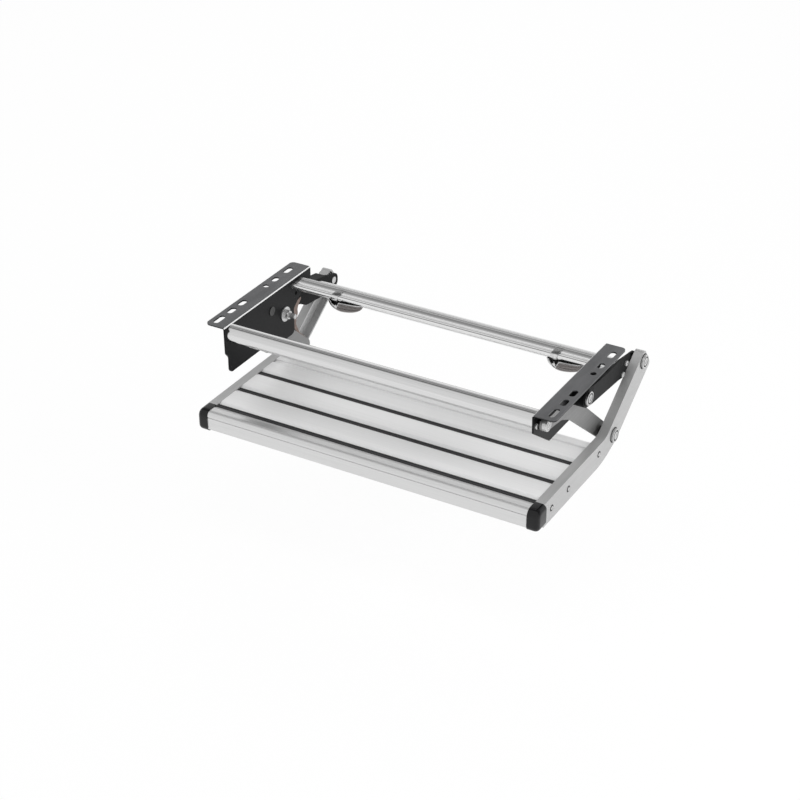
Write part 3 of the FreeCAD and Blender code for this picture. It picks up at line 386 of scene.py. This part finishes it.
def spring_clip(name, start_x):
    """A sprung strap over the profile's lip that runs into a scoop with an open, slanted mouth."""
    lip_y, lip_z, lip_r, thick = 0.038, -0.0115, 0.0040, 0.0010
    centre = Vector((start_x + 0.0220, 0.0345, -0.0138))
    scoop = bmesh.new()
    bmesh.ops.create_uvsphere(scoop, u_segments=72, v_segments=36, radius=1.0)
    bmesh.ops.scale(scoop, vec=(0.0235, 0.0062, 0.0168), verts=scoop.verts)
    for vert in scoop.verts:
        if vert.co.x > 0.0:
            vert.co.x *= 1.58
            vert.co.z += vert.co.x * 0.05
    bmesh.ops.translate(scoop, vec=centre, verts=scoop.verts)

    def sliced(point, normal, keep_all=True):
        everything = list(scoop.verts) + list(scoop.edges) + list(scoop.faces)
        bmesh.ops.bisect_plane(scoop, geom=everything, dist=0.00001, plane_co=point, plane_no=normal,
                               clear_outer=not keep_all, clear_inner=False)

    rim_width = 0.0013
    top = (centre, Vector((-0.05, 0.0, 1.0)).normalized())
    left = (Vector((start_x + 0.0030, 0.0, centre.z)), Vector((-1.0, 0.0, -0.70)).normalized())
    right = (Vector((start_x + 0.0200, 0.0, centre.z)), Vector((1.0, 0.0, -0.54)).normalized())
    sliced(*top, keep_all=False)
    sliced(top[0] - top[1] * rim_width, top[1])
    for point, way in (left, right):
        sliced(point, way)
        sliced(point + way * rim_width, way)
    sliced(centre, Vector((0.0, 1.0, 0.0)))

    def past(plane, middle):
        return (middle - plane[0]).dot(plane[1])

    front = [face for face in scoop.faces if face.calc_center_median().y < centre.y]
    mouth = [face for face in front if past(left, face.calc_center_median()) < 0.0
             and past(right, face.calc_center_median()) < 0.0]
    bmesh.ops.delete(scoop, geom=mouth, context="FACES")
    bmesh.ops.recalc_face_normals(scoop, faces=scoop.faces)
    bmesh.ops.solidify(scoop, geom=list(scoop.faces), thickness=thick)
    bmesh.ops.recalc_face_normals(scoop, faces=scoop.faces)
    # Inner faces take the painted-shade black; the rim and the left wall take the bright strap steel as a painted
    # highlight.
    for face in scoop.faces:
        middle = face.calc_center_median()
        edge_left = past(left, middle) < rim_width and past(right, middle) < rim_width
        on_rim = past(top, middle) > -rim_width or (edge_left and middle.y < centre.y)
        hollow = face.normal.dot(middle - centre) < -0.0002
        left_wall = past(left, middle) > 0.0 and middle.x < start_x + 0.012
        face.material_index = 2 if on_rim or left_wall else 1 if hollow else 0
    piece = place_piece(name + "_scoop", scoop, spring_finish, "frame", name)
    piece.data.materials.append(shadow_finish)
    piece.data.materials.append(strap_steel_and_painted_highlight)

    strap = bmesh.new()
    low, high, width = lip_r + 0.0001, lip_r + 0.0014, 0.0110
    turns = [math.radians(angle) for angle in range(0, 166, 11)]
    outside = [(lip_y - high * math.sin(turn), lip_z - high * math.cos(turn)) for turn in turns]
    inside = [(lip_y - low * math.sin(turn), lip_z - low * math.cos(turn)) for turn in turns]
    outside.append((0.0520, -0.0058))
    inside.append((0.0520, -0.0071))
    section = strap.faces.new([strap.verts.new((start_x + 0.004, y, z)) for y, z in outside + inside[::-1]])
    swept = bmesh.ops.extrude_face_region(strap, geom=[section])
    bmesh.ops.translate(strap, vec=(width, 0.0, 0.0),
                        verts=[item for item in swept["geom"] if isinstance(item, bmesh.types.BMVert)])
    bmesh.ops.recalc_face_normals(strap, faces=strap.faces)
    long_edges = [edge for edge in strap.edges if edge.calc_face_angle(0.0) > sharp_above]
    bmesh.ops.bevel(strap, geom=long_edges, offset=0.0004, offset_type="OFFSET", affect="EDGES", segments=3,
                    profile=0.5, clamp_overlap=True, material=-1)
    for face in strap.faces:
        # The strap's part behind the lip takes the darker copy: painted shade.
        face.material_index = int(face.calc_center_median().y > lip_y + 0.0005)
    piece = place_piece(name + "_strap", strap, strap_steel_and_painted_highlight, "frame")
    piece.data.materials.append(dark_strap_finish)


spring_clip("left_profile_clip", -0.180)
spring_clip("right_profile_clip", 0.183)


def lathe(name, outline, axis_y, axis_z, side, material, body, segments=40):
    """A turned piece on an axis along X, from an outline in (x, radius)."""
    shape = bmesh.new()
    line = [shape.verts.new((side * x, axis_y, axis_z + radius)) for x, radius in outline]
    runs = [shape.edges.new(pair) for pair in zip(line, line[1:])]
    bmesh.ops.spin(shape, geom=line + runs, cent=(0.0, axis_y, axis_z), axis=(1.0, 0.0, 0.0),
                   angle=math.tau, steps=segments, use_merge=True)
    bmesh.ops.remove_doubles(shape, verts=shape.verts, dist=weld)
    bmesh.ops.recalc_face_normals(shape, faces=shape.faces)
    place_piece(name, shape, material, body)


def painted_shade_ring(name, face_x, inner, outer, depth, axis_y, axis_z, side, body):
    """Painted shade: a black ring standing for the floor of a turned groove, a hair above the metal."""
    low = face_x - depth
    top = low + 0.00025
    lathe(name, [(low, inner), (top, inner), (top, outer), (low, outer), (low, inner)], axis_y, axis_z,
          side, shadow_finish, body)


pivots = {
    "rear_pivot": (-0.0202, -0.0280, "frame"),
    "lower_pivot": (0.0731, -0.1356, "tread"),
    "upper_pivot": (0.1685, -0.0602, "tread"),
}
head_r = 0.0104
head_height = 0.0037
# The black rings in each pin head's groove and round its seat are painted shade.
for label, (axis_y, axis_z, body) in pivots.items():
    face_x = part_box(label + "_pins")[1][0]
    for side, word in ((1, "right"), (-1, "left")):
        painted_shade_ring(word + "_" + label + "_ring", face_x, head_r * 0.60, head_r * 0.78, 0.0002, axis_y, axis_z,
                  side, body)
        painted_shade_ring(word + "_" + label + "_seat", face_x - head_height, head_r - 0.0002, head_r + 0.0014, 0.0,
                  axis_y, axis_z, side, body)

arm_face_x = 0.2748
screw_spots = [(-0.1296, -0.1455), (-0.0772, -0.1440), (0.0235, -0.1420)]
for number, (axis_y, axis_z) in enumerate(screw_spots):
    for side, word in ((1, "right"), (-1, "left")):
        tag = word + "_side_screw_" + str(number + 1)
        # A black disc under each screw head stands for the shade in its recess: painted shade.
        lathe(tag + "_recess", [(arm_face_x, 0.0), (arm_face_x, 0.0050), (0.2751, 0.0050), (0.2751, 0.0)],
              axis_y, axis_z, side, shadow_finish, "tread", 28)
        lathe(tag + "_head", [(0.2750, 0.0), (0.2750, 0.0030), (0.2756, 0.0029), (0.2760, 0.0023),
                              (0.2762, 0.0012), (0.2757, 0.0009), (0.2757, 0.0)],
              axis_y, axis_z, side, zinc_finish, "tread", 28)


# Stage

def stage_sheet(name, size, centre):
    shape = bmesh.new()
    bmesh.ops.create_grid(shape, x_segments=1, y_segments=1, size=size)
    mesh = bpy.data.meshes.new(name)
    shape.to_mesh(mesh)
    shape.free()
    sheet = bpy.data.objects.new(name, mesh)
    sheet.location = centre
    scene.collection.objects.link(sheet)
    return sheet


def seen_directly(tree):
    """One for camera, glossy and transmission rays, zero for the rest."""
    path = tree.nodes.new("ShaderNodeLightPath")
    first = tree.nodes.new("ShaderNodeMath")
    first.operation = "MAXIMUM"
    tree.links.new(path.outputs["Is Camera Ray"], first.inputs[0])
    tree.links.new(path.outputs["Is Glossy Ray"], first.inputs[1])
    second = tree.nodes.new("ShaderNodeMath")
    second.operation = "MAXIMUM"
    tree.links.new(first.outputs[0], second.inputs[0])
    tree.links.new(path.outputs["Is Transmission Ray"], second.inputs[1])
    return second.outputs[0]


# The tread sinks by up to 0.16 m on its way out, so the floor lies that far below it.
tread_sweep = 0.175
floor_z = cad_box[0][2] - tread_sweep
floor = stage_sheet("studio_floor", 30.0, (0.0, 0.0, floor_z))
floor_paint, tree, shader = new_material("studio_floor_paint")
shader.inputs["Base Color"].default_value = (0.94, 0.94, 0.94, 1.0)
shader.inputs["Roughness"].default_value = 0.9
shader.inputs["Specular IOR Level"].default_value = 0.1
glow = tree.nodes.new("ShaderNodeEmission")
glow.inputs["Color"].default_value = (1.0, 1.0, 1.0, 1.0)
glow.inputs["Strength"].default_value = 1.0
share = tree.nodes.new("ShaderNodeMath")
share.operation = "MULTIPLY"
share.inputs[1].default_value = 0.93
tree.links.new(seen_directly(tree), share.inputs[0])
blend = tree.nodes.new("ShaderNodeMixShader")
tree.links.new(share.outputs[0], blend.inputs["Fac"])
tree.links.new(shader.outputs["BSDF"], blend.inputs[1])
tree.links.new(glow.outputs["Emission"], blend.inputs[2])
tree.links.new(blend.outputs["Shader"], tree.nodes["Material Output"].inputs["Surface"])
floor.data.materials.append(floor_paint)

# The room is white all round, with a dark strip of ceiling that the round metal mirrors.
world = bpy.data.worlds.new("studio")
world.use_nodes = True
scene.world = world
tree = world.node_tree
background = tree.nodes["Background"]
background.inputs["Color"].default_value = (1.0, 1.0, 1.0, 1.0)
background.inputs["Strength"].default_value = 0.68
white = tree.nodes.new("ShaderNodeBackground")
white.inputs["Strength"].default_value = 1.0
heading = tree.nodes.new("ShaderNodeTexCoord")
apart = tree.nodes.new("ShaderNodeSeparateXYZ")
tree.links.new(heading.outputs["Generated"], apart.inputs["Vector"])
lean = tree.nodes.new("ShaderNodeMath")
lean.operation = "ARCTAN2"
tree.links.new(apart.outputs["Z"], lean.inputs[0])
tree.links.new(apart.outputs["Y"], lean.inputs[1])
turn = tree.nodes.new("ShaderNodeMath")
turn.operation = "DIVIDE"
turn.inputs[1].default_value = math.pi
tree.links.new(lean.outputs[0], turn.inputs[0])
sky = ramp(tree, turn.outputs[0], [(0.0, 0.72), (0.08, 1.0), (0.20, 1.0), (0.235, 0.42), (0.49, 0.08),
                                   (0.545, 0.80), (1.0, 0.90)])
path = tree.nodes.new("ShaderNodeLightPath")
plain = tree.nodes.new("ShaderNodeMix")
plain.data_type = "RGBA"
plain.inputs["B"].default_value = (1.0, 1.0, 1.0, 1.0)
tree.links.new(path.outputs["Is Camera Ray"], plain.inputs["Factor"])
tree.links.new(sky, plain.inputs["A"])
tree.links.new(plain.outputs["Result"], white.inputs["Color"])
mix = tree.nodes.new("ShaderNodeMixShader")
tree.links.new(seen_directly(tree), mix.inputs["Fac"])
tree.links.new(background.outputs["Background"], mix.inputs[1])
tree.links.new(white.outputs["Background"], mix.inputs[2])
tree.links.new(mix.outputs["Shader"], tree.nodes["World Output"].inputs["Surface"])


def softbox(name, place, aim, size, power):
    lamp = bpy.data.lights.new(name, "AREA")
    lamp.shape = "RECTANGLE"
    lamp.size, lamp.size_y = size
    lamp.energy = power
    light = bpy.data.objects.new(name, lamp)
    light.location = place
    light.rotation_euler = (Vector(aim) - Vector(place)).to_track_quat("-Z", "Y").to_euler()
    light.visible_glossy = False
    scene.collection.objects.link(light)


softbox("back_softbox", (-1.25, 2.3, 1.42), (0.0, 0.0, -0.05), (1.5, 0.5), 13.0)
softbox("front_softbox", (-0.9, -1.9, 1.5), (0.0, 0.0, -0.1), (1.2, 0.7), 6.0)
softbox("side_softbox", (2.1, 0.2, 0.7), (0.0, 0.0, -0.1), (0.9, 0.7), 16.0)
softbox("top_softbox", (0.1, -0.5, 1.8), (0.0, -0.1, -0.1), (1.2, 0.6), 7.0)

camera_data = bpy.data.cameras.new("photo_camera")
camera_data.lens = 87.26
camera_data.sensor_width = 36.0
camera_data.clip_start = 0.05
camera_data.clip_end = 50.0
camera = bpy.data.objects.new("photo_camera", camera_data)
camera.location = (1.1950, -2.1529, 1.3141)
camera.rotation_euler = (math.radians(59.778), 0.0, math.radians(29.798))
scene.collection.objects.link(camera)
scene.camera = camera
scene.view_settings.view_transform = "Standard"
